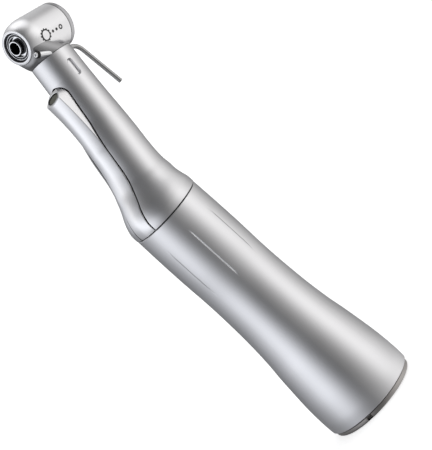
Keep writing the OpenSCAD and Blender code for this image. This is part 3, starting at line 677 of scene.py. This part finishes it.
def build_head():
    """Head housing: turned barrel, with chin and foot in a darker version of its steel that paints the shade under
    the head.
    """
    bm = bmesh.new()
    add_grid(bm, turned(barrel_outline(), 256), HEAD, along=True)
    barrel_faces = len(bm.faces)
    add_grid(bm, chin_rows(), HEAD, around=False, along=True)
    add_grid(bm, collar_rows(), HEAD, along=True)
    # Painted shade: chin and foot faces take the darker steel.
    for face in list(bm.faces)[barrel_faces:]:
        face.material_index = 1
    head = finish_mesh("head_shell", bm, 38)
    below = [face.index for face in head.data.polygons if face.material_index == 1]
    dress(head, barrel_metal, ["head_housing"])
    head.data.materials.append(chin_shade_metal)
    for i in below:
        head.data.polygons[i].material_index = 1


def build_back_cap():
    """Screwed cap behind the barrel, with a rounded edge and the button's hole."""
    z0 = -BACK_H - 0.05
    top = -BACK_H - CAP_H
    edge_r = 0.5
    outline = [(HEAD_R - 0.12, z0), (HEAD_R - 0.02, z0 - 0.08)]
    outline += [(HEAD_R - 0.52 + edge_r * math.cos(a), top + edge_r - edge_r * math.sin(a))
                for a in (math.radians(9 * k) for k in range(11))]
    outline += [(3.32, top), (3.22, top + 0.1), (3.22, -5.9), (3.5, -5.85), (3.5, -4.75), (3.88, -4.75),
                (3.88, z0)]
    dress(lathe("cap_shell", outline, HEAD, 200), cap_metal, ["back_cap"])


def build_button():
    """Dished push button with a soft rim; it moves with the button body."""
    top = -BACK_H - CAP_H - 0.15
    outline = [(0.001, top + 0.12), (0.9, top + 0.1), (1.7, top + 0.02), (2.2, top - 0.06), (2.55, top - 0.08),
               (2.85, top - 0.03), (3.02, top + 0.06), (3.12, top + 0.18), (3.15, top + 0.32), (3.15, -5.92),
               (3.42, -5.8), (3.42, -5.3), (0.9, -5.3), (0.9, -4.95), (0.001, -4.95)]
    dress(lathe("button_shell", outline, HEAD, 160), ring_metal, ["push_button"], "button")


def build_nose():
    """Retaining ring with two bright lips, and the spindle with its bright mouth; ring and spindle are near-black
    to paint the shade in the nose's recess.
    """
    ring = [(2.0, 4.85), (2.0, 5.05), (2.94, 5.05), (2.94, 4.85)]
    dress(lathe("nose_ring_shell", ring, HEAD, 128), recess_shade_metal, ["nose_ring"])
    for name, r in (("nose_lip_inner", 2.04), ("nose_lip_outer", 2.5)):
        lip = [(r, 5.0), (r, 5.2), (r + 0.03, 5.24), (r + 0.09, 5.24), (r + 0.12, 5.2), (r + 0.12, 5.0)]
        dress(lathe(name, lip, HEAD, 128), bright_metal)
    tip = 6.07
    tube = [(1.62, -4.3), (1.62, 4.9), (1.42, 5.0), (1.42, tip - 0.08), (1.2, tip - 0.08), (1.18, tip - 0.2),
            (1.18, -1), (1.4, -1), (1.4, -4.3)]
    dress(lathe("spindle_shell", tube, HEAD, 128), recess_shade_metal, ["spindle"], "rotor")
    mouth = [(1.21, tip - 0.12), (1.21, tip - 0.04), (1.26, tip), (1.4, tip), (1.46, tip - 0.05),
             (1.46, tip - 0.3), (1.4, tip - 0.3), (1.4, tip - 0.12)]
    dress(lathe("spindle_mouth", mouth, HEAD, 128), bright_metal, (), "rotor")


def build_nozzle():
    """Spray nozzle under the nose, with a near-black ring round it that paints the shadow in its joint."""
    place = HEAD @ Matrix.Translation(NOZZLE_TIP * MM) @ Matrix.Rotation(NOZZLE_TILT, 4, "Y")
    # Painted shadow: near-black ring where the nozzle leaves its pocket.
    gap = [(NOZZLE_R, -0.5), (NOZZLE_R, 0.12), (NOZZLE_R + 0.12, 0.06), (NOZZLE_R + 0.12, -0.5)]
    dress(lathe("nozzle_gap_shadow", gap, place, 64), gap_shadow_paint)
    outline = [(0.26, -3.4), (0.26, 0.25), (0.3, 0.32), (NOZZLE_R - 0.1, 0.32), (NOZZLE_R - 0.03, 0.26),
               (NOZZLE_R, 0), (NOZZLE_R, -3.4)]
    dress(lathe("nozzle_shell", outline, place, 64), bright_metal, ["spray_nozzle"])


# Irrigation pipe in neck coordinates: where it starts, length from there to the bend and place along the neck,
# then radius and angle of the bend and length of the straight run, then outer and inner radius.
PIPE_START, PIPE_STUB, PIPE_AT = 3.25, 2.6, 39.15
PIPE_TURN_R, PIPE_TURN, PIPE_RUN = 2.4, math.radians(71.5), 9.6
PIPE_R, PIPE_BORE = 0.45, 0.28


def build_pipe():
    """Irrigation pipe: straight stub, bend, straight run."""
    bend_at = PIPE_START + PIPE_STUB
    path = [(PIPE_START, PIPE_AT), (4.4, PIPE_AT)]
    path += [(bend_at + PIPE_TURN_R * math.sin(PIPE_TURN * k / 20),
              PIPE_AT - PIPE_TURN_R + PIPE_TURN_R * math.cos(PIPE_TURN * k / 20)) for k in range(21)]
    ex, ez = path[-1]
    path += [(ex + PIPE_RUN * t * math.cos(PIPE_TURN), ez - PIPE_RUN * t * math.sin(PIPE_TURN))
             for t in (0.25, 0.5, 0.75, 0.985, 1)]
    pipe = grid_piece("pipe_shell", tube_rows(path, PIPE_R, PIPE_BORE), NECK, 40, along=True)
    dress(pipe, tube_metal, ["irrigation_pipe"])


# Generic marking --------------------------------------------------------------------------------
# Where the mark lies on the barrel: angle and height of its middle, its scale, its height above the metal.
MARK_ANGLE = math.radians(251)
MARK_H, MARK_SIZE, MARK_LIFT = -0.1, 1.45, 0.012


def build_mark():
    """Reduction symbol on the barrel: a large toothed ring driving a small disc, in dark enamel."""
    bm = bmesh.new()
    lift = HEAD_R + MARK_LIFT

    def patch(points):
        verts = []
        for u, v in points:
            a = MARK_ANGLE + MARK_SIZE * v / HEAD_R
            at = Vector((lift * math.cos(a), lift * math.sin(a), MARK_H + MARK_SIZE * u))
            verts.append(bm.verts.new(HEAD @ (at * MM)))
        return verts

    def ring(cx, r0, r1, teeth=0):
        n = 72
        inner, outer = [], []
        for k in range(n):
            a = TAU * k / n
            tooth = 0.14 if teeth and (k * teeth // n * n // teeth + n // (2 * teeth)) > k else 0
            inner.append((cx + r0 * math.cos(a), r0 * math.sin(a)))
            outer.append((cx + (r1 + tooth) * math.cos(a), (r1 + tooth) * math.sin(a)))
        low, high = patch(inner), patch(outer)
        for k in range(n):
            bm.faces.new((low[k], low[(k + 1) % n], high[(k + 1) % n], high[k]))

    ring(1.15, 0.62, 0.8, 12)
    ring(-0.25, 0.0001, 0.2)
    ring(-1.0, 0.0001, 0.2)
    ring(-1.85, 0.16, 0.34)
    dress(finish_mesh("reduction_mark", bm, 60), enamel)


build_handle()
build_rear_ring()
build_neck()
build_cover()
build_guide_window()
build_head()
build_back_cap()
build_button()
build_nose()
build_nozzle()
build_pipe()
build_mark()

# CAD nodes that keep their own shape ------------------------------------------------------------
SLOT_METAL = {"core_steel": dark_metal, "gear_steel": gear_metal, "bearing_steel": bright_metal,
              "tube_steel": tube_metal, "bronze": bronze_metal, "seal_rubber": rubber, "guide_glass": glass,
              "shell_steel": shell_metal, "cover_steel": cover_metal, "ring_steel": ring_metal}
for entry in frame["record"]["subparts"]:
    node = frame["nodes"][entry["node"]]
    node.data.materials.clear()
    node.data.materials.append(SLOT_METAL[entry["material_slot"]])

# Camera -----------------------------------------------------------------------------------------
AZIMUTH, ELEVATION, ROLL = (math.radians(d) for d in (-44.18, 10.23, -47.95))
TARGET = Vector((6.28, 0, 44.88)) * MM
DISTANCE = 405.2 * MM
FOCAL, SENSOR = 168.8, 36


def place_camera():
    """Camera at the photograph's angle, rolled about its own axis."""
    back = Vector((math.sin(AZIMUTH) * math.cos(ELEVATION), -math.cos(AZIMUTH) * math.cos(ELEVATION),
                   math.sin(ELEVATION)))
    right = Vector((math.cos(AZIMUTH), math.sin(AZIMUTH), 0))
    up = back.cross(right)
    rolled_right = right * math.cos(ROLL) + up * math.sin(ROLL)
    rolled_up = up * math.cos(ROLL) - right * math.sin(ROLL)
    data = bpy.data.cameras.new("camera")
    data.lens = FOCAL
    data.sensor_width = SENSOR
    data.clip_start = 0.01
    data.clip_end = 50
    camera = bpy.data.objects.new("camera", data)
    turn = Matrix((rolled_right, rolled_up, back)).transposed().to_4x4()
    camera.matrix_world = Matrix.Translation(TARGET + back * DISTANCE) @ turn
    bpy.context.scene.collection.objects.link(camera)
    bpy.context.scene.camera = camera


place_camera()

# Studio -----------------------------------------------------------------------------------------
# Turns the bands so that angle 0 points at the camera: positive angles are to its right.
LIGHT_TURN = -math.atan2(-math.cos(AZIMUTH), math.sin(AZIMUTH))
COOL, WARM, PLAIN = (0.97, 0.99, 1.03), (1.01, 1.0, 0.985), (1, 1, 1)
# Bands of light for level rays: angle in degrees, brightness, tint.
LEVEL_BANDS = [
    (-180, 0.18, PLAIN), (-152, 0.2, COOL), (-122, 0.33, COOL), (-102, 0.52, COOL), (-85, 0.85, COOL),
    (-71, 1.18, COOL), (-58, 1.28, COOL), (-46, 1.12, COOL), (-34, 0.76, COOL), (-22, 0.42, COOL),
    (-11, 0.2, COOL), (0, 0.14, PLAIN), (11, 0.2, WARM), (22, 0.3, WARM), (34, 0.47, WARM),
    (46, 0.78, WARM), (58, 1.12, WARM), (71, 1.28, WARM), (85, 1.1, WARM), (102, 0.8, WARM),
    (122, 0.52, WARM), (152, 0.28, PLAIN), (180, 0.18, PLAIN)]
UPPER_BANDS = [
    (-180, 0.3, PLAIN), (-150, 0.6, COOL), (-130, 0.95, COOL), (-100, 1.2, COOL), (-75, 1.28, COOL),
    (-58, 1.24, COOL), (-46, 0.98, COOL), (-34, 0.62, COOL), (-22, 0.32, COOL), (-11, 0.17, COOL),
    (0, 0.14, PLAIN), (11, 0.17, WARM), (22, 0.25, WARM), (34, 0.42, WARM), (46, 0.7, WARM),
    (58, 1.05, WARM), (71, 1.24, WARM), (85, 1.1, WARM), (102, 0.9, WARM), (122, 0.8, WARM), (180, 0.5, PLAIN)]
HIGH_BANDS = [
    (-180, 0.7, PLAIN), (-150, 0.4, PLAIN), (-118, 0.75, PLAIN), (-90, 1.25, PLAIN), (-62, 0.7, COOL),
    (-40, 0.25, COOL), (-20, 0.15, COOL), (25, 0.15, PLAIN), (60, 0.42, WARM), (90, 0.85, WARM),
    (108, 0.45, WARM), (126, 0.2, WARM), (157, 0.45, PLAIN), (180, 0.8, PLAIN)]
TOP_BANDS = [
    (-180, 0.9, PLAIN), (-150, 0.4, PLAIN), (-115, 0.36, PLAIN), (-90, 0.5, PLAIN), (-60, 0.2, PLAIN),
    (-25, 0.12, PLAIN), (30, 0.14, PLAIN), (58, 0.25, PLAIN), (76, 0.9, PLAIN), (95, 1.15, PLAIN),
    (135, 1.4, PLAIN), (180, 1.3, PLAIN)]
LOW_BANDS = [
    (-180, 0.25, PLAIN), (-120, 0.16, PLAIN), (-60, 0.2, COOL), (0, 0.25, PLAIN), (60, 0.75, WARM),
    (100, 1.05, WARM), (140, 0.85, WARM), (180, 0.5, PLAIN)]
# Sets for rays that rise or fall, with the heights of a ray where each starts and is complete.
LAYERS = [(0.0, 0.3, UPPER_BANDS), (0.36, 0.52, HIGH_BANDS), (0.58, 0.72, TOP_BANDS), (-0.22, -0.38, LOW_BANDS)]


def map_range(nodes, links, source, low, high):
    """Share of the way from low to high, kept between 0 and 1."""
    node = nodes.new("ShaderNodeMapRange")
    node.inputs["From Min"].default_value = low
    node.inputs["From Max"].default_value = high
    links.new(source, node.inputs["Value"])
    return node.outputs["Result"]


def band_ramp(nodes, links, share, bands):
    """Colour over a full turn from rows of angle, brightness and tint."""
    ramp = nodes.new("ShaderNodeValToRGB")
    ramp.color_ramp.interpolation = "LINEAR"
    points = ramp.color_ramp.elements
    points.remove(points[1])
    for i, (degrees, value, tint) in enumerate(bands):
        element = points.new(0.5 + degrees / 360) if i else points[0]
        element.color = (value * tint[0], value * tint[1], value * tint[2], 1)
    links.new(share, ramp.inputs["Fac"])
    return ramp.outputs["Color"]


def mix_colours(nodes, links, factor, below, above):
    """Colour between two others; the second may be a plain colour."""
    mixed = nodes.new("ShaderNodeMix")
    mixed.data_type = "RGBA"
    links.new(factor, mixed.inputs["Factor"])
    links.new(below, mixed.inputs["A"])
    if isinstance(above, tuple):
        mixed.inputs["B"].default_value = above
    else:
        links.new(above, mixed.inputs["B"])
    return mixed.outputs["Result"]


def studio_world():
    """Bands of soft light round the object: two bright panels with a dark gap between them. The camera itself
    sees plain white."""
    world = bpy.data.worlds.new("studio")
    world.use_nodes = True
    nodes, links = world.node_tree.nodes, world.node_tree.links
    place = nodes.new("ShaderNodeTexCoord")
    turn = nodes.new("ShaderNodeMapping")
    turn.inputs["Rotation"].default_value = (0, 0, LIGHT_TURN)
    links.new(place.outputs["Generated"], turn.inputs["Vector"])
    split = nodes.new("ShaderNodeSeparateXYZ")
    links.new(turn.outputs["Vector"], split.inputs["Vector"])
    angle = nodes.new("ShaderNodeMath")
    angle.operation = "ARCTAN2"
    links.new(split.outputs["Y"], angle.inputs[0])
    links.new(split.outputs["X"], angle.inputs[1])
    share = map_range(nodes, links, angle.outputs["Value"], -math.pi, math.pi)
    colour = band_ramp(nodes, links, share, LEVEL_BANDS)
    for low, high, bands in LAYERS:
        height = map_range(nodes, links, split.outputs["Z"], low, high)
        colour = mix_colours(nodes, links, height, colour, band_ramp(nodes, links, share, bands))
    path = nodes.new("ShaderNodeLightPath")
    seen = mix_colours(nodes, links, path.outputs["Is Camera Ray"], colour, (1, 1, 1, 1))
    background = nodes["Background"]
    links.new(seen, background.inputs["Color"])
    background.inputs["Strength"].default_value = 1.0
    bpy.context.scene.world = world


def build_floor():
    """Pale floor under the standing handpiece; it keeps a soft contact shadow."""
    radii, depth = (0.01, 60, 200, 1000, 12000), -0.02
    floor = grid_piece("floor", turned([(r, depth) for r in radii], 96), HANDLE)
    material, nodes, links, shader = node_material("pale_floor")
    noise = nodes.new("ShaderNodeTexNoise")
    noise.inputs["Scale"].default_value = 40
    ramp = nodes.new("ShaderNodeValToRGB")
    ramp.color_ramp.elements[0].color = (0.9, 0.9, 0.9, 1)
    ramp.color_ramp.elements[1].color = (0.94, 0.94, 0.94, 1)
    links.new(noise.outputs["Fac"], ramp.inputs["Fac"])
    links.new(ramp.outputs["Color"], shader.inputs["Base Color"])
    shader.inputs["Roughness"].default_value = 0.9
    shader.inputs["Emission Color"].default_value = (1, 1, 1, 1)
    shader.inputs["Emission Strength"].default_value = 0.62
    floor.data.materials.append(material)
    floor.visible_glossy = False
    floor.visible_diffuse = False


studio_world()
build_floor()
bpy.context.scene.view_settings.view_transform = "Standard"
